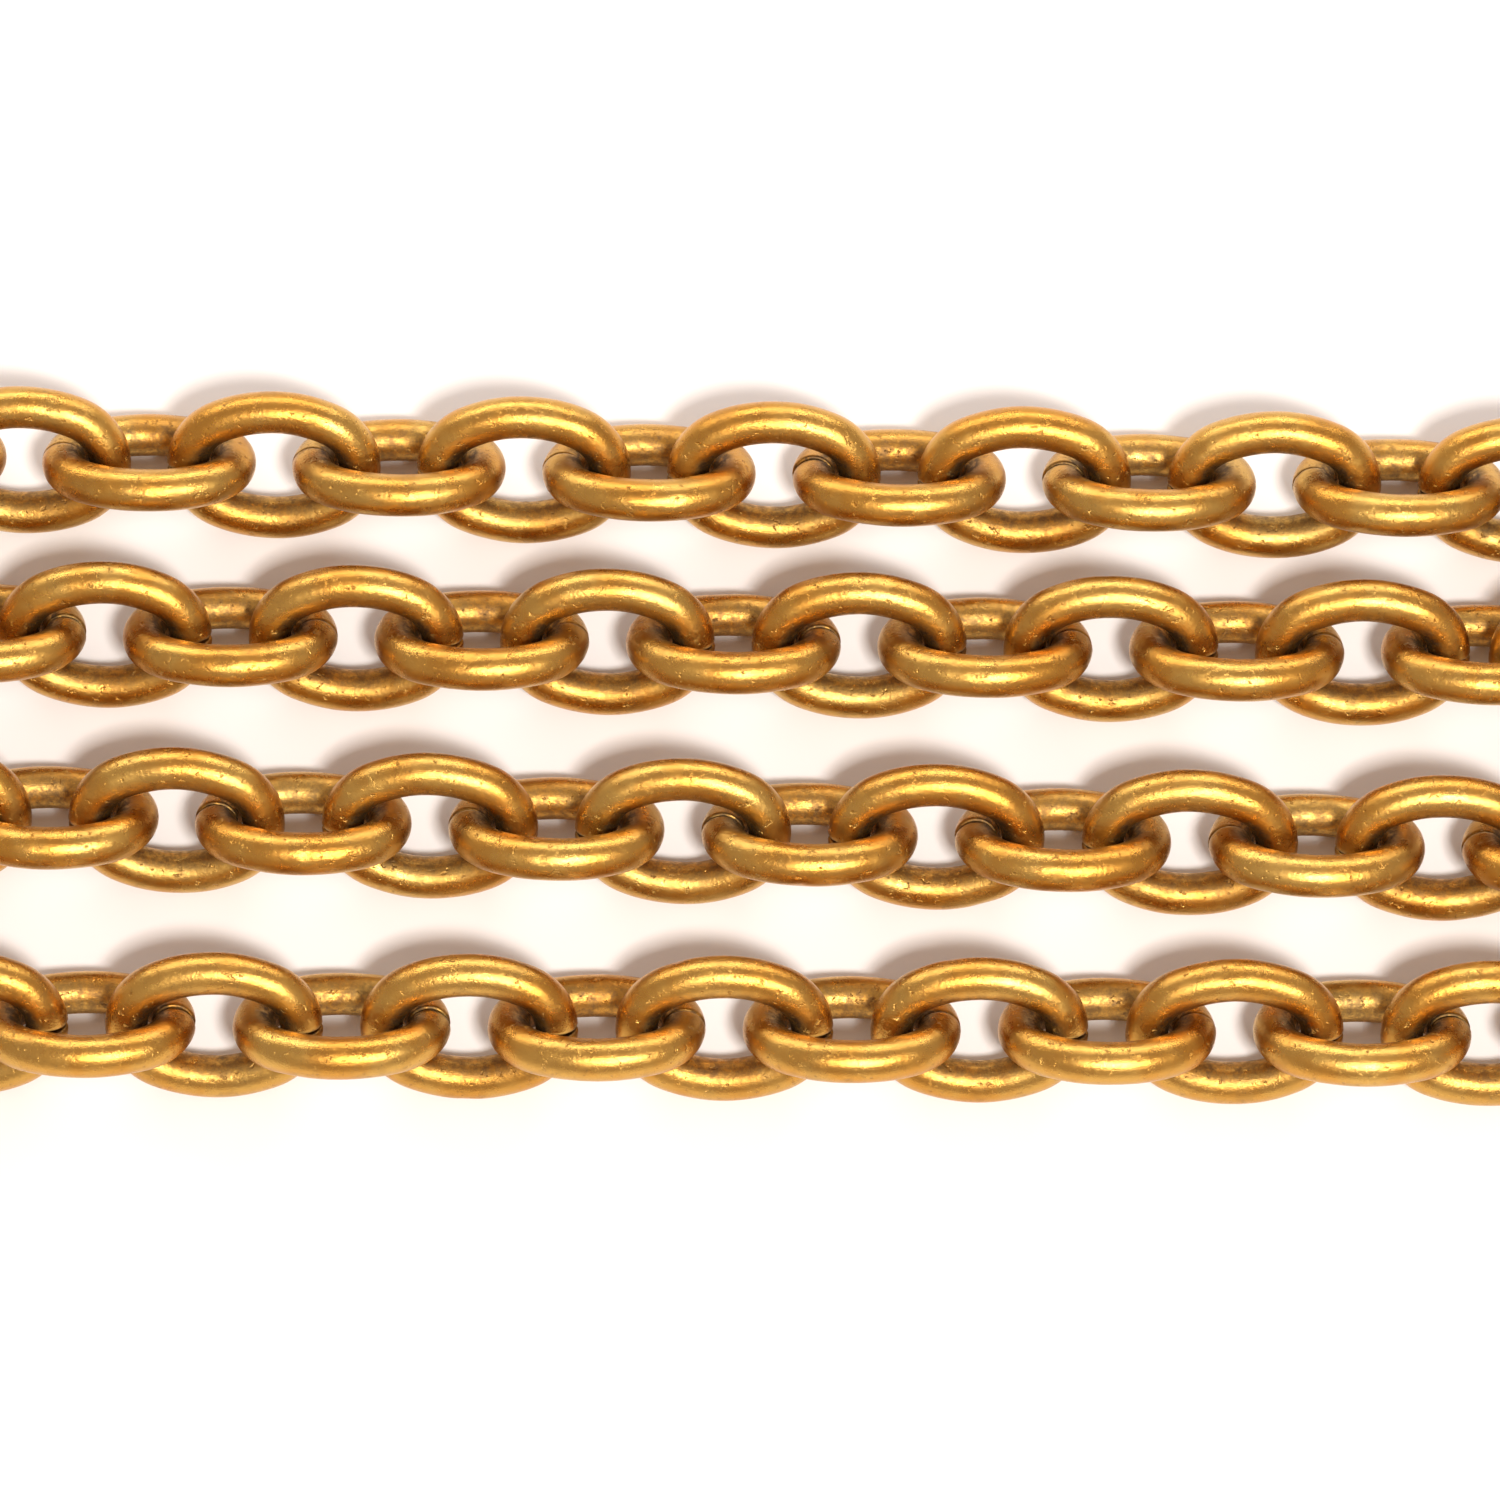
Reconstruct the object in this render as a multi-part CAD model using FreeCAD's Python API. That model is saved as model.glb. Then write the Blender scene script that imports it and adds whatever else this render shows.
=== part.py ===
"""Pocket watch chain: a run of oval links laid back and forth in four rows, with a T-bar at one
end and a sprung swivel clip at the other. Millimetres, +Z up, resting on Z = 0. The origin is at
the middle of the footprint. +X runs along the rows."""
import FreeCAD, Part
import math
import os
from FreeCAD import Placement, Rotation, Vector

# ---- links ----
WIRE = 1.55             # round wire of every link
LINK_LENGTH = 7.85      # over the wire
LINK_WIDTH = 5.90       # over the wire
CROWN_RADIUS = 1.90     # wire centre line of the round ends
PITCH = 4.58            # from one link's middle to the next in a straight run
LEAN = 45.0             # each link leans this far from level, every second one the other way
SEAM = 0.05             # width of the butt seam in the middle of one crown

# ---- how the chain lies: four rows, then the three turns that join them ----
ROW_Y = (10.45, 4.0, -3.1, -10.35)       # where each row crosses the middle
ROW_DROP = (1.2, 0.85, 1.3, 0.4)         # degrees that each row falls away towards +X
ROW_PHASE = (0.9, 4.0, -2.4, -0.9)       # middle of the link numbered 0 in each row
ROW_FIRST = (-7, -7, -6, -6)             # number of the leftmost link in each row
ROW_LAST = (6, 5, 7, 6)                  # number of the rightmost link in each row
PAIRS = ((-6, 0, 4), (-4, 2), (-5, -1, 5), (-5, -1, 3))   # left links of the two-link nodes

# The middle link of a turn stands between two leaning ones. A turn is described from one row's
# end link to the next row's: how far past each row link's middle the turn's nodes lie, half the
# step along an outer link, how far each outer link is turned from its row, how much the middle
# link is lifted, and how far the three links lean.
WIDE_TURN = {"start": 2.35, "finish": 2.20, "half_step": 1.70, "start_turn": 15.0,
             "finish_turn": 10.0, "lift": 0.70, "leans": (40.0, 67.0, 45.0)}
CLOSE_TURN = {"start": 1.80, "finish": 2.10, "half_step": 2.43, "start_turn": 38.0,
              "finish_turn": 11.5, "lift": 0.05, "leans": (69.0, 26.0, 60.0)}

# ---- fittings ----
FITTING_WIRE = 1.2      # wire of the jump rings and eyes
RING_RADIUS = 2.6       # wire centre line of the jump rings
RING_PLAY = 0.17        # free gap between two wires that hang in each other
BAR_LENGTH = 22.0
BAR_RADIUS = 1.2
BAR_MIDDLE_RADIUS = 1.45   # the bar is thicker where its eye is brazed on
BAR_MIDDLE_LENGTH = 6.0
BAR_EYE_RADIUS = 2.2    # wire centre line of the bar's eye
BAR_EYE_REACH = 2.5     # from the bar's middle to the eye's
BAR_EYE_TILT = 22.0     # the eye rises this far from the table towards the chain
BAR_RING_LEAN = 62.0    # the bar's ring stands steeper than the links, half way to its flat eye
BAR_RING_PLAY = 0.55    # the bar, its ring and the first link cross askew, so they lie looser
SHANK_EYE_RADIUS = 1.75
SHANK_RADIUS = 0.65
HEAD_RADIUS = 1.15
HEAD_THICKNESS = 1.0
BARREL_RADIUS = 1.9
BARREL_START = 2.6      # distances along the clip are measured from the shank eye's middle
BARREL_END = 6.2
COLLAR = 1.0            # wall that the shank turns in
BORE_PLAY = 0.08
HEAD_PLAY = 0.15
CUT_PAST = 0.1          # how far a cut runs past the face that it opens
HOOK_WIRE = 2.2
HOOK_RADIUS = 3.5       # wire centre line of the hook's two rounded ends
HOOK_SHOULDER = 9.2
HOOK_ROOT_ANGLE = 110.0 # where the hook starts on the barrel, from the clip's long axis
HOOK_NOSE = 16.2
HOOK_TIP_ANGLE = 50.0   # where the nose stops, from the clip's long axis
GATE_PIVOT = (8.2, 3.3)
GATE_END = 17.6
GATE_WIDTH = 1.6
GATE_THICKNESS = 1.3
KNUCKLE_RADIUS = 1.25   # round end of the gate about its pin
PAD_RADIUS = 1.28       # thumb pad on the gate's outer edge
PAD_START = 12.4
PAD_RISE = 0.25
SLOT = 1.46             # slot across the clip body that the gate turns in
SLOT_CORNER = (6.3, 1.55)
SLOT_LENGTH = 6.0
SLOT_DEPTH = 5.0
LUG_RADIUS = 1.5
LUG_THICKNESS = 2.8
PIN_RADIUS = 0.4
PIN_PLAY = 0.06
PIN_HEAD_RADIUS = 0.7
PIN_HEAD = 0.15
SPRING_INNER = 0.62     # radii of the rolled strip round the pin
SPRING_OUTER = 0.88
SPRING_HEIGHT = 0.8
SPRING_SWEEP = 320.0    # how far the strip reaches round the pin
NOTCH_RADIUS = 1.05     # room for the spring inside the gate
NOTCH_HEIGHT = 0.92

X = Vector(1, 0, 0)
Y = Vector(0, 1, 0)
Z = Vector(0, 0, 1)
HALF_LENGTH = (LINK_LENGTH - WIRE) / 2       # of a link's centre line
HALF_WIDTH = (LINK_WIDTH - WIRE) / 2


def height_of_leaning(half_width, wire, lean=LEAN):
    """Height of a loop's middle when its lower side rests on Z = 0."""
    return half_width * math.sin(math.radians(lean)) + wire / 2


LINK_HEIGHT = height_of_leaning(HALF_WIDTH, WIRE)


def heading_of(direction):
    return math.degrees(math.atan2(direction.y, direction.x))


def along(heading, distance=1.0):
    angle = math.radians(heading)
    return Vector(math.cos(angle), math.sin(angle), 0) * distance


def laid(point, heading, lean=0.0):
    """Placement of a piece drawn flat about the origin and pointing along +X."""
    return Placement(point, Rotation(Z, heading) * Rotation(X, lean))


# ---- shapes, each drawn about its own origin ----

def wire_arc(centre, radius, start, end, wire):
    """Round wire bent along an arc in the XY plane, from angle start to angle end."""
    section_centre = centre + along(start, radius)
    circle = Part.makeCircle(wire / 2, section_centre, along(start + 90))
    return Part.Face(Part.Wire(circle)).revolve(centre, Z, end - start)


def straight_wire(start, end, wire):
    return Part.makeCylinder(wire / 2, (end - start).Length, start, end - start)


def joined(pieces):
    return pieces[0].multiFuse(pieces[1:]).removeSplitter()


def make_link():
    """Oval of four tangent arcs, cut through at the middle of its +X crown by the butt seam."""
    offset = HALF_LENGTH - CROWN_RADIUS
    rise = HALF_WIDTH - CROWN_RADIUS
    side_radius = (offset**2 + HALF_WIDTH**2 - CROWN_RADIUS**2) / (2 * rise)
    side_offset = side_radius - HALF_WIDTH
    spread = math.degrees(math.atan2(side_offset, offset))
    seam_angle = math.degrees(SEAM / 2 / CROWN_RADIUS)
    right, left = Vector(offset, 0, 0), Vector(-offset, 0, 0)
    below, above = Vector(0, -side_offset, 0), Vector(0, side_offset, 0)
    return joined([
        wire_arc(right, CROWN_RADIUS, seam_angle, spread, WIRE),
        wire_arc(below, side_radius, spread, 180 - spread, WIRE),
        wire_arc(left, CROWN_RADIUS, 180 - spread, 180 + spread, WIRE),
        wire_arc(above, side_radius, 180 + spread, 360 - spread, WIRE),
        wire_arc(right, CROWN_RADIUS, 360 - spread, 360 - seam_angle, WIRE),
    ])


def make_jump_ring():
    """Round ring with its butt seam on the +Y side."""
    seam_angle = math.degrees(SEAM / 2 / RING_RADIUS)
    return wire_arc(Vector(), RING_RADIUS, 90 + seam_angle, 450 - seam_angle, FITTING_WIRE)


def make_bar():
    """Round bar along Y with domed ends and a thicker middle. Its eye stands off towards +X."""
    reach = BAR_LENGTH / 2 - BAR_RADIUS
    rod = Part.makeCylinder(BAR_RADIUS, 2 * reach, Vector(0, -reach, 0), Y)
    middle = Part.makeCylinder(BAR_MIDDLE_RADIUS, BAR_MIDDLE_LENGTH,
                               Vector(0, -BAR_MIDDLE_LENGTH / 2, 0), Y)
    domes = [Part.makeSphere(BAR_RADIUS, Vector(0, side * reach, 0)) for side in (-1, 1)]
    eye = Part.makeTorus(BAR_EYE_RADIUS, FITTING_WIRE / 2)
    eye.Placement = Placement(bar_eye_middle(), Rotation(Y, -BAR_EYE_TILT))
    return joined([rod, middle, *domes, eye])


def bar_eye_middle():
    """Middle of the bar's eye, seen from the bar's middle."""
    return Rotation(Y, -BAR_EYE_TILT).multVec(Vector(BAR_EYE_REACH, 0, 0))


def make_shank():
    """Eye, neck and the riveted head that holds the neck in the clip's barrel."""
    head_start = BARREL_START + COLLAR + HEAD_PLAY
    eye = Part.makeTorus(SHANK_EYE_RADIUS, FITTING_WIRE / 2)
    neck = straight_wire(Vector(SHANK_EYE_RADIUS, 0, 0), Vector(head_start, 0, 0), 2 * SHANK_RADIUS)
    head = Part.makeCylinder(HEAD_RADIUS, HEAD_THICKNESS, Vector(head_start, 0, 0), X)
    return joined([eye, neck, head])


def make_clip_body():
    """Barrel with the shank's bore, and the hook from shoulder to nose, with the gate's lug."""
    barrel_length = BARREL_END - BARREL_START
    barrel = Part.makeCylinder(BARREL_RADIUS, barrel_length, Vector(BARREL_START, 0, 0), X)
    shoulder, nose = Vector(HOOK_SHOULDER, 0, 0), Vector(HOOK_NOSE, 0, 0)
    drop = Vector(0, -HOOK_RADIUS, 0)
    hook = [
        wire_arc(shoulder, HOOK_RADIUS, HOOK_ROOT_ANGLE, 270, HOOK_WIRE),
        straight_wire(shoulder + drop, nose + drop, HOOK_WIRE),
        wire_arc(nose, HOOK_RADIUS, -90, HOOK_TIP_ANGLE, HOOK_WIRE),
    ]
    pivot = Vector(*GATE_PIVOT, 0)
    lug = Part.makeCylinder(LUG_RADIUS, LUG_THICKNESS, pivot - Z * LUG_THICKNESS / 2, Z)
    body = joined([barrel, *hook, lug])
    cavity_length = HEAD_THICKNESS + 2 * HEAD_PLAY
    cuts = [
        Part.makeCylinder(SHANK_RADIUS + BORE_PLAY, COLLAR + CUT_PAST,
                          Vector(BARREL_START - CUT_PAST, 0, 0), X),
        Part.makeCylinder(HEAD_RADIUS + HEAD_PLAY, cavity_length,
                          Vector(BARREL_START + COLLAR, 0, 0), X),
        Part.makeBox(SLOT_LENGTH, SLOT_DEPTH, SLOT, Vector(*SLOT_CORNER, -SLOT / 2)),
        Part.makeCylinder(PIN_RADIUS, LUG_THICKNESS, pivot - Z * LUG_THICKNESS / 2, Z),
    ]
    return body.cut(cuts)


def make_gate():
    """Flat lever from the pivot to the hook's tip, with a thumb pad and a notch for the spring."""
    pivot = Vector(*GATE_PIVOT, 0)
    base = Vector(0, 0, -GATE_THICKNESS / 2)
    knuckle = Part.makeCylinder(KNUCKLE_RADIUS, GATE_THICKNESS, pivot + base, Z)
    lever = Part.makeBox(GATE_END - pivot.x, GATE_WIDTH, GATE_THICKNESS,
                         pivot + base - Y * GATE_WIDTH / 2)
    pad = Part.makeCylinder(PAD_RADIUS, GATE_THICKNESS,
                            Vector(PAD_START, pivot.y + PAD_RISE, 0) + base, Z)
    notch = Part.makeCylinder(NOTCH_RADIUS, NOTCH_HEIGHT,
                              pivot - Z * NOTCH_HEIGHT / 2, Z)
    hole = Part.makeCylinder(PIN_RADIUS + PIN_PLAY, GATE_THICKNESS, pivot + base, Z)
    return joined([knuckle, lever, pad]).cut([notch, hole])


def make_gate_pin():
    """Rivet through the lug, with a low head on each side."""
    pivot = Vector(*GATE_PIVOT, 0)
    shaft = Part.makeCylinder(PIN_RADIUS, LUG_THICKNESS, pivot - Z * LUG_THICKNESS / 2, Z)
    heads = [
        Part.makeCylinder(PIN_HEAD_RADIUS, PIN_HEAD, pivot + Z * LUG_THICKNESS / 2, Z),
        Part.makeCylinder(PIN_HEAD_RADIUS, PIN_HEAD, pivot - Z * (LUG_THICKNESS / 2 + PIN_HEAD), Z),
    ]
    return joined([shaft, *heads])


def make_gate_spring():
    """Strip rolled round the gate pin."""
    base = Vector(*GATE_PIVOT, -SPRING_HEIGHT / 2)
    strip = Part.makeCylinder(SPRING_OUTER, SPRING_HEIGHT, base, Z, SPRING_SWEEP)
    return strip.cut(Part.makeCylinder(SPRING_INNER, SPRING_HEIGHT, base, Z))


# ---- layout ----

def row_heading(row):
    """Direction of travel from the bar to the clip. Every second row runs back towards -X."""
    return -ROW_DROP[row] + (180 if row % 2 else 0)


def row_point(row, number):
    across = ROW_PHASE[row] + number * PITCH
    return Vector(0, ROW_Y[row], LINK_HEIGHT) + along(-ROW_DROP[row], across)


def row_lean(row, number):
    """Links with an even number hold their back side high, the others their front side."""
    back_high = LEAN if number % 2 == 0 else -LEAN
    return -back_high if row % 2 else back_high


def row_links(row):
    """Names and placements of a row's nodes, left to right. A pair of links shares one node."""
    nodes = []
    number = ROW_FIRST[row]
    while number <= ROW_LAST[row]:
        count = 2 if number in PAIRS[row] else 1
        members = range(number, number + count)
        places = [laid(row_point(row, n), row_heading(row), row_lean(row, n)) for n in members]
        label = "_".join(f"{n - ROW_FIRST[row] + 1:02d}" for n in members)
        nodes.append((f"row_{row + 1}_link_{label}", places))
        number += count
    return nodes


def turn_links(name, turn, begin, finish):
    """Three links from one row's end link to the next row's, clockwise. begin and finish each
    hold the row link's middle, its heading in this direction of travel, and its lean."""
    begin_point, begin_heading, lean = begin
    finish_point, finish_heading, _ = finish
    sign = math.copysign(1, lean)
    headings = [begin_heading - turn["start_turn"], 0, finish_heading + turn["finish_turn"]]
    begin_node = begin_point + along(begin_heading, turn["start"])
    finish_node = finish_point - along(finish_heading, turn["finish"])
    first = begin_node + along(headings[0], turn["half_step"])
    third = finish_node - along(headings[2], turn["half_step"])
    gap_start = first + along(headings[0], turn["half_step"])
    gap_end = third - along(headings[2], turn["half_step"])
    headings[1] = heading_of(gap_end - gap_start)
    middles = [first, (gap_start + gap_end) / 2, third]
    leans = [sign * side * amount for side, amount in zip((-1, 1, -1), turn["leans"])]
    lifts = (0, turn["lift"], 0)
    nodes = []
    for index in range(3):
        height = height_of_leaning(HALF_WIDTH, WIRE, abs(leans[index])) + lifts[index]
        point = Vector(middles[index].x, middles[index].y, height)
        nodes.append((f"{name}_link_{index + 1}", [laid(point, headings[index], leans[index])]))
    return nodes


def reversed_links(nodes):
    """The same links counted from the other end, each turned end for end where it lies."""
    flip = Placement(Vector(), Rotation(Z, 180))
    return [(name, [place * flip for place in places]) for name, places in reversed(nodes)]


def row_end(row, number, reverse=False):
    heading = row_heading(row) + (180 if reverse else 0)
    lean = row_lean(row, number) * (-1 if reverse else 1)
    return row_point(row, number), heading, lean


def chain_links():
    """Every chain node in order from the bar to the clip."""
    rows = [row_links(row) for row in range(4)]
    rows[1].reverse()
    rows[3].reverse()
    first = turn_links("turn_1", WIDE_TURN, row_end(0, ROW_LAST[0]), row_end(1, ROW_LAST[1]))
    second = reversed_links(turn_links("turn_2", CLOSE_TURN, row_end(2, ROW_FIRST[2], True),
                                       row_end(1, ROW_FIRST[1], True)))
    third = turn_links("turn_3", CLOSE_TURN, row_end(2, ROW_LAST[2]), row_end(3, ROW_LAST[3]))
    return rows[0] + first + rows[1] + second + rows[2] + third + rows[3]


def fitting_places():
    """Placements of the fittings beyond the left ends of the first and last rows."""
    places = {}
    hang = HALF_LENGTH + RING_RADIUS - (WIRE + FITTING_WIRE) / 2

    end, heading, lean = row_end(0, ROW_FIRST[0], True)
    ring = end + along(heading, hang - BAR_RING_PLAY)
    ring.z = height_of_leaning(RING_RADIUS, FITTING_WIRE, BAR_RING_LEAN)
    places["bar_jump_ring"] = laid(ring, heading, -math.copysign(BAR_RING_LEAN, lean))
    reach = RING_RADIUS + BAR_EYE_RADIUS - FITTING_WIRE - BAR_RING_PLAY
    middle = ring + along(heading, reach + bar_eye_middle().x)
    middle.z = BAR_MIDDLE_RADIUS
    places["t_bar"] = laid(middle, heading + 180)

    end, heading, lean = row_end(3, ROW_FIRST[3])
    ring = end + along(heading, hang - RING_PLAY)
    ring.z = height_of_leaning(RING_RADIUS, FITTING_WIRE)
    places["clip_jump_ring"] = laid(ring, heading, -lean)
    reach = RING_RADIUS + SHANK_EYE_RADIUS - FITTING_WIRE - RING_PLAY
    places["swivel_shank"] = laid(ring + along(heading, reach), heading, lean)
    clip = laid(ring + along(heading, reach), heading)
    for name in ("clip_body", "gate_lever", "gate_pin", "gate_spring"):
        places[name] = clip
    return places


def placed(shape, places):
    copies = []
    for place in places:
        copy = shape.copy()
        copy.Placement = place * copy.Placement
        copies.append(copy)
    return copies[0] if len(copies) == 1 else Part.makeCompound(copies)


def build():
    """All nodes as (name, shape), with the middle of the footprint at the origin."""
    link = make_link()
    nodes = [(name, placed(link, places)) for name, places in chain_links()]
    fittings = {
        "bar_jump_ring": make_jump_ring(),
        "t_bar": make_bar(),
        "clip_jump_ring": make_jump_ring(),
        "swivel_shank": make_shank(),
        "clip_body": make_clip_body(),
        "gate_lever": make_gate(),
        "gate_pin": make_gate_pin(),
        "gate_spring": make_gate_spring(),
    }
    places = fitting_places()
    nodes += [(name, placed(shape, [places[name]])) for name, shape in fittings.items()]
    box = Part.makeCompound([shape for _, shape in nodes]).optimalBoundingBox()
    shift = Vector(-box.Center.x, -box.Center.y, 0)
    for _, shape in nodes:
        shape.translate(shift)
    return nodes, shift


os.makedirs("parts", exist_ok=True)
NODES, SHIFT = build()
for node_name, node_shape in NODES:
    node_shape.exportStep(f"parts/{node_name}.step")
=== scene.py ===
"""Looks of the pocket watch chain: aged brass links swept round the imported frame's own links,
aged brass fittings, a pale table and soft studio light. Metres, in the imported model's frame."""

import math
import random

import bpy
import numpy as np
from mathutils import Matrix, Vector


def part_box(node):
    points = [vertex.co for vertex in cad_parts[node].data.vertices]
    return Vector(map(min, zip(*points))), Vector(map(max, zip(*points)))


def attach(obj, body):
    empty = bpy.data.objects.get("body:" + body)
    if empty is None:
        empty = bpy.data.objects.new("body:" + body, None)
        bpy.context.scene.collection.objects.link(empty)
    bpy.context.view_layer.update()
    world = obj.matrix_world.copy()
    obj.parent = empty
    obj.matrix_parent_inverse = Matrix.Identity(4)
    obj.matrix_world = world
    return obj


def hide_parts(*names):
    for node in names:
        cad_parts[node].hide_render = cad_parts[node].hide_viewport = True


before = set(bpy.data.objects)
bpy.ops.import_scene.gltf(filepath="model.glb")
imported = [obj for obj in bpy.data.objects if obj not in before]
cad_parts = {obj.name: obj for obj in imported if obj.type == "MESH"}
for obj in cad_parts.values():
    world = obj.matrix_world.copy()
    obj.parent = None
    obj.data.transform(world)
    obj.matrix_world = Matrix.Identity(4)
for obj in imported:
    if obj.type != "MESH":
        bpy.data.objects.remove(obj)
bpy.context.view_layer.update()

MM = 0.001
FULL_TURN = 2 * math.pi
UP = np.array([0, 0, 1.0])

# A link's wire, and the oval of its centre line: two crown arcs joined by two flatter side arcs.
WIRE_RADIUS = 0.775 * MM
HALF_LENGTH = 3.15 * MM
HALF_WIDTH = 2.175 * MM
CROWN_RADIUS = 1.90 * MM
CROWN_OFFSET = HALF_LENGTH - CROWN_RADIUS
SIDE_RADIUS = ((CROWN_OFFSET**2 + HALF_WIDTH**2 - CROWN_RADIUS**2)
               / (2 * (HALF_WIDTH - CROWN_RADIUS)))
SIDE_OFFSET = SIDE_RADIUS - HALF_WIDTH
CROWN_SPREAD = math.atan2(SIDE_OFFSET, CROWN_OFFSET)
CROWN_RUN = CROWN_RADIUS * CROWN_SPREAD
SIDE_RUN = SIDE_RADIUS * (math.pi - 2 * CROWN_SPREAD)
OVAL_LENGTH = 4 * CROWN_RUN + 2 * SIDE_RUN

SEAM_FACE = 0.025 * MM       # how far each cut end of a CAD link lies from its crown's middle
SEAM_EDGE = 0.16 * MM        # from a cut end to the first of the evenly spaced rings
SEAM_BEND = 1.1 * MM         # the reach over which the cut ends are bent out of line
# Distance past the cut, and the share of the wire's radius kept there.
CUT_EDGE = ((0.0, 0.90), (0.025 * MM, 0.965), (0.07 * MM, 1.0))
ALONG_STEPS = 132
ROUND_STEPS = 28
WELD = 1e-7                  # points nearer than this are one point
SECOND_LINK_SEED = 200       # keeps a node's second link off the other nodes' seeds
GRAIN_STEP = 1.37            # sets the drawing lines of two links apart

FITTINGS = ("t_bar", "bar_jump_ring", "clip_jump_ring", "swivel_shank", "clip_body",
            "gate_lever", "gate_pin")
SPRING = "gate_spring"

CLEAN_BRASS = (0.64, 0.385, 0.095)
WARM_BRASS = (0.60, 0.29, 0.05)
DARK_BRASS = (0.115, 0.075, 0.045)
CLEAN_STEEL = (0.42, 0.41, 0.40)
WARM_STEEL = (0.33, 0.31, 0.30)
DARK_STEEL = (0.06, 0.05, 0.045)

LOOK_AT = (0.00943, -0.00372)
CAMERA_ELEVATION = math.radians(75)
CAMERA_DISTANCE = 0.272
CAMERA_LENS = 180.0
CAMERA_SENSOR = 36.0
CAMERA_NEAR = 0.01
TABLE_SIZE = 3.0
TABLE_DROP = 0.00002         # keeps the table's face clear of the links that rest on it
AMBIENT = (1.0, 0.85, 0.79, 1.0)
AMBIENT_STRENGTH = 0.56


# ---- where the links are ----

def loose_parts(node):
    """Vertices and triangles of each separate solid in a CAD node."""
    mesh = node.data
    mesh.calc_loop_triangles()
    points = np.array([vertex.co[:] for vertex in mesh.vertices])
    triangles = np.array([triangle.vertices[:] for triangle in mesh.loop_triangles])
    keys = np.round(points / WELD).astype(np.int64)
    _, first, welded = np.unique(keys, axis=0, return_index=True, return_inverse=True)
    points = points[first]
    faces = welded.reshape(-1)[triangles]
    label = np.arange(len(points))
    while True:
        lowest = label[faces].min(axis=1)
        fresh = label.copy()
        for corner in range(3):
            np.minimum.at(fresh, faces[:, corner], lowest)
        fresh = fresh[fresh]
        if (fresh == label).all():
            break
        label = fresh
    owner = label[faces[:, 0]]
    return [(points, faces[owner == value]) for value in np.unique(owner)]


def spread_directions(corners):
    """Unit directions of a solid's least, middle and greatest spread, as columns, from its
    triangles' corners measured from a point inside it."""
    a, b, c = (corners[:, k] for k in range(3))
    volume = np.einsum("ij,ij->i", a, np.cross(b, c)) / 6
    total = a + b + c
    spread = sum(np.einsum("i,ij,ik->jk", volume, side, side) for side in (a, b, c, total)) / 20
    _, directions = np.linalg.eigh(spread * np.sign(volume.sum()))
    return directions


def link_place(points, faces):
    """A link's middle and axes: X to its cut crown, Z square to its plane and upwards."""
    corners = points[faces]
    middle = corners.reshape(-1, 3).mean(axis=0)
    directions = spread_directions(corners - middle)
    thin, long = directions[:, 0], directions[:, 2]
    if thin[2] < 0:
        thin = -thin
    across = np.cross(thin, long)
    axes = np.stack([long, across, thin], axis=1)
    local = (points[np.unique(faces)] - middle) @ axes
    shift = (local.max(axis=0) + local.min(axis=0)) / 2
    local -= shift
    middle = middle + axes @ shift
    at_cut = np.abs(np.abs(local[:, 1]) - SEAM_FACE) < SEAM_FACE / 5
    at_crown = np.abs(local[:, 0]) > HALF_LENGTH - WIRE_RADIUS * 1.02
    ahead = local[:, 0] > 0
    behind = local[:, 0] < 0
    if (at_cut & at_crown & ahead).sum() < (at_cut & at_crown & behind).sum():
        axes = np.stack([-long, -across, thin], axis=1)
    return middle, axes


# ---- the link's surface ----

def oval_point(distance):
    """Point and outward direction of the oval at a distance along it from the cut crown."""
    arcs = (
        (CROWN_OFFSET, 0, CROWN_RADIUS, 0, CROWN_RUN),
        (0, -SIDE_OFFSET, SIDE_RADIUS, CROWN_SPREAD, SIDE_RUN),
        (-CROWN_OFFSET, 0, CROWN_RADIUS, math.pi - CROWN_SPREAD, 2 * CROWN_RUN),
        (0, SIDE_OFFSET, SIDE_RADIUS, math.pi + CROWN_SPREAD, SIDE_RUN),
        (CROWN_OFFSET, 0, CROWN_RADIUS, FULL_TURN - CROWN_SPREAD, CROWN_RUN),
    )
    for x, y, radius, start, run in arcs:
        if distance <= run + 1e-12:
            break
        distance -= run
    angle = start + distance / radius
    outward = np.array([math.cos(angle), math.sin(angle), 0])
    return np.array([x, y, 0]) + radius * outward, outward


def soft_step(low, high, value):
    """0 below low, 1 above high and smooth between."""
    t = min(max((value - low) / (high - low), 0.0), 1.0)
    return t * t * (3 - 2 * t)


def draw_flaws(rng, upper_turn):
    """One link's own seam and tool marks. Each mark is (along, round, length, width, depth)."""
    flaws = {
        "half_gap": rng.uniform(0.022, 0.050) * MM,
        "wedge": rng.uniform(-0.06, 0.06),
        "slip_up": rng.choice((-1, 1)) * rng.uniform(0.015, 0.045) * MM,
        "slip_out": rng.uniform(-0.02, 0.0) * MM,
        "marks": [],
    }
    for _ in range(rng.choice((1, 2, 2, 3))):
        limb = rng.choice((0.25, 0.25, 0.75))
        flaws["marks"].append((
            OVAL_LENGTH * (limb + rng.uniform(-0.09, 0.09)),
            upper_turn + rng.uniform(-0.9, 0.9),
            rng.uniform(0.12, 0.30) * MM,
            rng.uniform(0.12, 0.26),
            rng.uniform(0.015, 0.045) * MM,
        ))
    flaws["ripple_phase"] = rng.uniform(0, 6.28)
    return flaws


def ring_stops(half_gap):
    """Each ring's distance along the oval and the share of the wire's radius it keeps."""
    start = half_gap + SEAM_EDGE
    cut_end = [(half_gap + past, share) for past, share in CUT_EDGE]
    even = [(distance, 1.0) for distance in np.linspace(start, OVAL_LENGTH - start, ALONG_STEPS)]
    other_end = [(OVAL_LENGTH - distance, share) for distance, share in reversed(cut_end)]
    return cut_end + even + other_end


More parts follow.
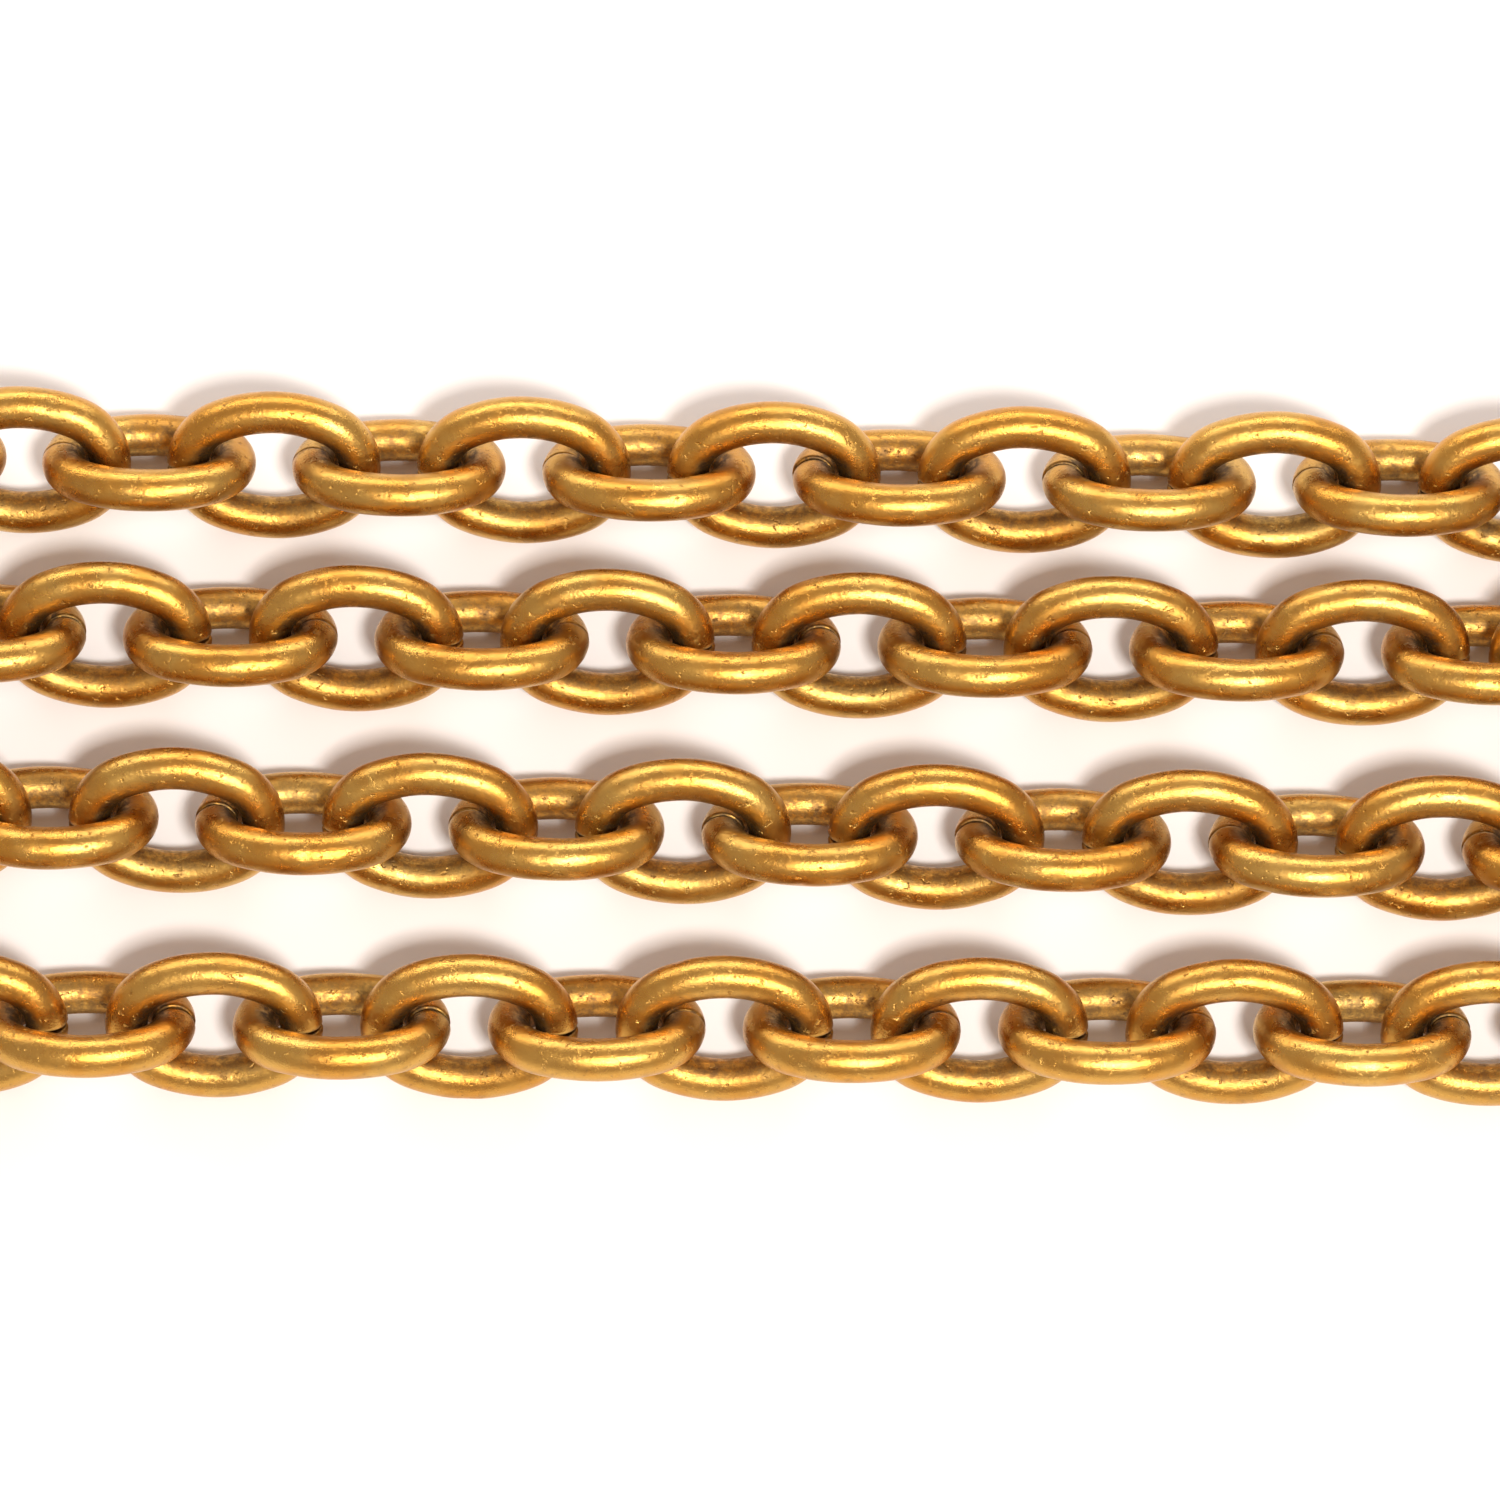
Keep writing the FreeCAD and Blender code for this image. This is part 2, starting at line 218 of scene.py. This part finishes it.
def ring_centre(distance, from_seam, side, flaws):
    """Middle of one ring and its outward direction, with the cut ends bent out of line."""
    centre, outward = oval_point(distance)
    bend = 1 - soft_step(0.0, SEAM_BEND, from_seam)
    centre = centre + side * bend * flaws["slip_up"] * UP
    if side > 0:
        centre = centre + bend * flaws["slip_out"] * outward
    return centre, outward


def dent(distance, turn, mark):
    """Depth of one tool mark at a place on the wire."""
    along, round_, length, width, depth = mark
    off = math.atan2(math.sin(turn - round_), math.cos(turn - round_))
    reach = (distance - along) / length
    return depth * math.exp(-reach * reach - (off / width) ** 2)


def radius_at(distance, turn, share, flaws):
    """The wire's radius at a place on it, less its tool marks and a fine ripple."""
    ripple_depth = 0.004 * MM
    ripple_rate = 2600
    wave = math.sin(distance * ripple_rate + flaws["ripple_phase"] + 2 * math.cos(turn))
    marks = sum(dent(distance, turn, mark) for mark in flaws["marks"])
    return WIRE_RADIUS * share - marks - ripple_depth * (1 + wave)


def dirt_and_wear(turn, crown, from_seam):
    """Dirt lies on the wire's inner side, most at the crowns, and in the cut. Wear is outside."""
    inside = 0.5 - 0.5 * math.cos(turn)
    hollow = soft_step(0.45, 0.95, inside)
    near_cut = 1 - soft_step(0.03 * MM, 0.16 * MM, from_seam)
    dirt = min(1.0, 0.95 * crown * hollow + 0.60 * hollow + 0.9 * near_cut)
    wear = (1 - inside) * (0.55 + 0.45 * crown)
    return dirt, wear


def tube_faces(rings):
    """Quads between neighbouring rings, and the two flat cut ends."""
    faces = []
    for ring in range(rings - 1):
        here = ring * ROUND_STEPS
        there = here + ROUND_STEPS
        for step in range(ROUND_STEPS):
            after = (step + 1) % ROUND_STEPS
            faces.append((here + step, there + step, there + after, here + after))
    last = (rings - 1) * ROUND_STEPS
    faces.append(tuple(range(ROUND_STEPS)))
    faces.append(tuple(last + step for step in reversed(range(ROUND_STEPS))))
    return faces


def link_surface(seed, upper_turn):
    """Swept wire with a butt seam and tool marks. upper_turn is which way round the wire is up
    on the high limb. Returns points, faces and the point values dirt, wear and grain."""
    flaws = draw_flaws(random.Random(seed), upper_turn)
    stops = ring_stops(flaws["half_gap"])
    slanted = 0.12 * MM
    points, dirt, wear, grain = [], [], [], []
    for distance, share in stops:
        side = 1 if distance < OVAL_LENGTH / 2 else -1
        from_seam = min(distance, OVAL_LENGTH - distance)
        from_crown = min(from_seam, abs(distance - OVAL_LENGTH / 2))
        crown = 1 - soft_step(0.9 * MM, 2.3 * MM, from_crown)
        centre, outward = ring_centre(distance, from_seam, side, flaws)
        forward = np.cross(UP, outward)
        slant = 0.3 * flaws["wedge"] * WIRE_RADIUS * side if from_seam < slanted else 0.0
        for step in range(ROUND_STEPS):
            turn = FULL_TURN * step / ROUND_STEPS
            across = math.cos(turn) * outward + math.sin(turn) * UP
            radius = radius_at(distance, turn, share, flaws)
            points.append(centre + radius * across + slant * math.cos(turn) * forward)
            dark, rubbed = dirt_and_wear(turn, crown, from_seam)
            dirt.append(dark)
            wear.append(rubbed)
            grain.append((distance / MM, turn * WIRE_RADIUS / MM, seed * GRAIN_STEP))
    return points, tube_faces(len(stops)), dirt, wear, grain


def link_mesh(name, points, faces):
    """A smooth-shaded mesh whose cut ends stay flat."""
    mesh = bpy.data.meshes.new(name)
    mesh.from_pydata(points, [], faces)
    mesh.validate()
    mesh.shade_smooth()
    for face in mesh.polygons:
        if len(face.vertices) > 4:
            face.use_smooth = False
    return mesh


def add_values(mesh, name, values, kind="FLOAT", key="value"):
    """A named value at each point of the mesh, for its material."""
    mesh.attributes.new(name, kind, "POINT").data.foreach_set(key, values)


def make_link_piece(node_name, seed):
    """One mesh in the place of a CAD link node, which holds one link or two."""
    points, faces, dirt, wear, grain = [], [], [], [], []
    for number, (part_points, part_faces) in enumerate(loose_parts(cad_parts[node_name])):
        middle, axes = link_place(part_points, part_faces)
        upper_turn = 0.0 if axes[2, 1] > 0 else math.pi / 4
        link_seed = seed + SECOND_LINK_SEED * number
        swept, quads, dark, rubbed, cells = link_surface(link_seed, upper_turn)
        first = len(points)
        points += [tuple(middle + axes @ point) for point in swept]
        faces += [tuple(first + corner for corner in face) for face in quads]
        dirt += dark
        wear += rubbed
        grain += cells
    mesh = link_mesh(node_name + "_worn", points, faces)
    tone = random.Random(seed * 3 + 1).random()
    add_values(mesh, "dirt", dirt)
    add_values(mesh, "wear", wear)
    add_values(mesh, "tone", [tone] * len(points))
    flat_grain = [value for cell in grain for value in cell]
    add_values(mesh, "grain", flat_grain, "FLOAT_VECTOR", "vector")
    piece = bpy.data.objects.new(node_name + "_worn", mesh)
    bpy.context.scene.collection.objects.link(piece)
    return piece


# ---- materials ----

class Nodes:
    """Short ways to add and wire shader nodes."""

    def __init__(self, name):
        self.material = bpy.data.materials.new(name)
        self.material.use_nodes = True
        self.tree = self.material.node_tree
        self.shader = self.tree.nodes["Principled BSDF"]

    def add(self, kind, **values):
        node = self.tree.nodes.new(kind)
        for key, value in values.items():
            setattr(node, key, value)
        return node

    def wire(self, source, target):
        self.tree.links.new(source, target)

    def attribute(self, name, output="Fac"):
        return self.add("ShaderNodeAttribute", attribute_name=name).outputs[output]

    def noise(self, vector, scale, detail=4.0, roughness=0.6):
        """Noise with about scale blotches per unit of the vector."""
        node = self.add("ShaderNodeTexNoise")
        node.inputs["Scale"].default_value = scale
        node.inputs["Detail"].default_value = detail
        node.inputs["Roughness"].default_value = roughness
        self.wire(vector, node.inputs["Vector"])
        return node.outputs["Fac"]

    def fit(self, value, low, high, to_low=0.0, to_high=1.0):
        """Turns low..high into to_low..to_high, with a smooth step."""
        node = self.add("ShaderNodeMapRange", interpolation_type="SMOOTHSTEP")
        limits = {"From Min": low, "From Max": high, "To Min": to_low, "To Max": to_high}
        for key, number in limits.items():
            node.inputs[key].default_value = number
        self.wire(value, node.inputs["Value"])
        return node.outputs["Result"]

    def math(self, operation, first, second):
        node = self.add("ShaderNodeMath", operation=operation, use_clamp=True)
        for socket, value in zip(node.inputs, (first, second)):
            if isinstance(value, float):
                socket.default_value = value
            else:
                self.wire(value, socket)
        return node.outputs[0]

    def mix(self, factor, first, second):
        node = self.add("ShaderNodeMix", data_type="RGBA")
        self.wire(factor, node.inputs[0])
        for socket, value in ((node.inputs[6], first), (node.inputs[7], second)):
            if isinstance(value, tuple):
                socket.default_value = (*value, 1.0)
            else:
                self.wire(value, socket)
        return node.outputs[2]

    def bump(self, height, strength, depth, below=None):
        node = self.add("ShaderNodeBump")
        node.inputs["Strength"].default_value = strength
        node.inputs["Distance"].default_value = depth
        self.wire(height, node.inputs["Height"])
        if below is not None:
            self.wire(below, node.inputs["Normal"])
        return node.outputs["Normal"]


def table_material():
    """Matt pale board with faint clouds and a fine tooth."""
    n = Nodes("pale_table")
    place = n.add("ShaderNodeTexCoord").outputs["Object"]
    cloud = n.fit(n.noise(place, 14.0, 3.0), 0.3, 0.7)
    colour = n.mix(cloud, (0.90, 0.885, 0.875), (0.925, 0.915, 0.905))
    tooth = n.bump(n.noise(place, 900.0, 3.0), 0.04, 0.1 * MM)
    n.wire(colour, n.shader.inputs["Base Color"])
    n.shader.inputs["Roughness"].default_value = 0.75
    n.wire(tooth, n.shader.inputs["Normal"])
    return n.material


def metal_relief(n, place, grain, depth):
    """Pits, fine grit and slow waves, and drawing lines where grain gives the wire's run."""
    pits = n.fit(n.noise(place, 3600.0, 3.0), 0.62, 0.72, 1.0, 0.0)
    relief = n.bump(pits, 0.6, 0.05 * MM * depth)
    relief = n.bump(n.noise(place, 5600.0, 5.0, 0.72), 0.5, 0.04 * MM * depth, relief)
    relief = n.bump(n.noise(place, 1300.0, 2.0), 0.18, 0.06 * MM * depth, relief)
    if grain is None:
        return relief
    lines = n.add("ShaderNodeMapping")
    lines.inputs["Scale"].default_value = (0.35, 7.0, 1.0)
    n.wire(grain, lines.inputs["Vector"])
    return n.bump(n.noise(lines.outputs["Vector"], 3.2, 3.0), 0.12, 0.03 * MM, relief)


def worn_metal(n, clean, warm, dark, dirt=None, tone=None, wear=None, grain=None,
               rough=(0.25, 0.55), relief_depth=1.0):
    """Worn metal: two clean colours that drift, dark patina in spots and hollows, and relief.
    dirt, tone, wear and grain are point values, for the meshes that have them."""
    place = n.add("ShaderNodeTexCoord").outputs["Object"]
    drift = n.fit(n.noise(place, 420.0, 3.0), 0.36, 0.66)
    colour = n.mix(drift, clean, warm)
    if tone is not None:
        colour = n.mix(n.fit(tone, 0.0, 1.0, 0.0, 0.30), colour, warm)
    speckle = n.fit(n.noise(place, 6200.0, 5.0, 0.7), 0.56, 0.70)
    patches = n.fit(n.noise(place, 900.0, 4.0, 0.65), 0.50, 0.68)
    tarnish = n.math("MULTIPLY", speckle, n.fit(patches, 0.0, 1.0, 0.35, 1.0))
    if wear is not None:
        tarnish = n.math("MULTIPLY", tarnish, n.fit(wear, 0.2, 1.0, 1.0, 0.45))
    colour = n.mix(n.math("MULTIPLY", tarnish, 0.55), colour, dark)
    hollow = n.fit(patches, 0.0, 1.0, 0.0, 0.16)
    if dirt is not None:
        edge = n.fit(n.noise(place, 2600.0, 6.0, 0.8), 0.36, 0.62, 0.12, 1.25)
        hollow = n.math("ADD", hollow, n.math("MULTIPLY", dirt, edge))
    colour = n.mix(n.math("MULTIPLY", hollow, 0.86), colour, dark)
    dull = n.math("MAXIMUM", n.math("MULTIPLY", tarnish, 0.5), hollow)
    smear = n.fit(n.noise(place, 1100.0, 4.0), 0.30, 0.72, 0.0, 0.45)
    roughness = n.fit(n.math("ADD", dull, smear), 0.0, 1.2, *rough)
    n.shader.inputs["Metallic"].default_value = 1.0
    n.wire(colour, n.shader.inputs["Base Color"])
    n.wire(roughness, n.shader.inputs["Roughness"])
    n.wire(metal_relief(n, place, grain, relief_depth), n.shader.inputs["Normal"])
    return n.material


def link_brass():
    n = Nodes("aged_brass_link")
    return worn_metal(n, CLEAN_BRASS, WARM_BRASS, DARK_BRASS, dirt=n.attribute("dirt"),
                      tone=n.attribute("tone"), wear=n.attribute("wear"),
                      grain=n.attribute("grain", "Vector"))


def fitting_brass():
    n = Nodes("aged_brass_fitting")
    return worn_metal(n, CLEAN_BRASS, WARM_BRASS, DARK_BRASS, relief_depth=0.45)


def spring_steel():
    n = Nodes("dull_spring_steel")
    return worn_metal(n, CLEAN_STEEL, WARM_STEEL, DARK_STEEL, rough=(0.28, 0.5),
                      relief_depth=0.4)


# ---- pieces ----

def build_links():
    brass = link_brass()
    link_nodes = [name for name in sorted(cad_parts) if "_link_" in name]
    for seed, name in enumerate(link_nodes, start=1):
        piece = make_link_piece(name, seed)
        piece.data.materials.append(brass)
        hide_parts(name)
        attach(piece, name)


def dress_node(name, material):
    """A CAD node keeps its own shape and gets the material."""
    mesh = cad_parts[name].data
    mesh.materials.clear()
    mesh.materials.append(material)


def dress_fittings():
    brass = fitting_brass()
    for name in FITTINGS:
        dress_node(name, brass)
    dress_node(SPRING, spring_steel())


# ---- table, light and camera ----

def aim_point():
    """What the camera and lights are aimed at, half way up the rows of links."""
    boxes = [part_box(name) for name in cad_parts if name.startswith("row_")]
    low = min(box[0][2] for box in boxes)
    high = max(box[1][2] for box in boxes)
    return Vector((*LOOK_AT, (low + high) / 2))


def aimed(name, data, place, target):
    """A light or camera at a place, looking at the target."""
    holder = bpy.data.objects.new(name, data)
    holder.location = place
    holder.rotation_euler = (target - place).to_track_quat("-Z", "Y").to_euler()
    bpy.context.scene.collection.objects.link(holder)
    return holder


def build_table():
    bpy.ops.mesh.primitive_plane_add(size=TABLE_SIZE, location=(0, 0, -TABLE_DROP))
    floor = bpy.context.object
    floor.name = "table"
    floor.data.materials.append(table_material())


def build_camera(target):
    camera = bpy.data.cameras.new("photo_camera")
    camera.lens = CAMERA_LENS
    camera.sensor_width = CAMERA_SENSOR
    camera.clip_start = CAMERA_NEAR
    direction = Vector((0, -math.cos(CAMERA_ELEVATION), math.sin(CAMERA_ELEVATION)))
    place = target + CAMERA_DISTANCE * direction
    bpy.context.scene.camera = aimed("photo_camera", camera, place, target)


def build_ambient():
    world = bpy.data.worlds.new("studio")
    world.use_nodes = True
    background = world.node_tree.nodes["Background"]
    background.inputs["Color"].default_value = AMBIENT
    background.inputs["Strength"].default_value = AMBIENT_STRENGTH
    bpy.context.scene.world = world
    bpy.context.scene.view_settings.view_transform = "Standard"


def build_light(name, offset, target, size, power, colour):
    light = bpy.data.lights.new(name, "AREA")
    light.shape = "RECTANGLE"
    light.size, light.size_y = size
    light.energy = power
    light.color = colour
    aimed(name, light, target + Vector(offset), target)


def build_studio():
    build_table()
    target = aim_point()
    build_camera(target)
    build_ambient()
    build_light("front_key", (0.07, -0.15, 0.34), target, (0.065, 0.06), 1.25, (1.0, 0.96, 0.92))
    build_light("back_box", (-0.03, 0.33, 0.20), target, (0.60, 0.06), 0.95, (1.0, 0.98, 0.95))


build_studio()
build_links()
dress_fittings()
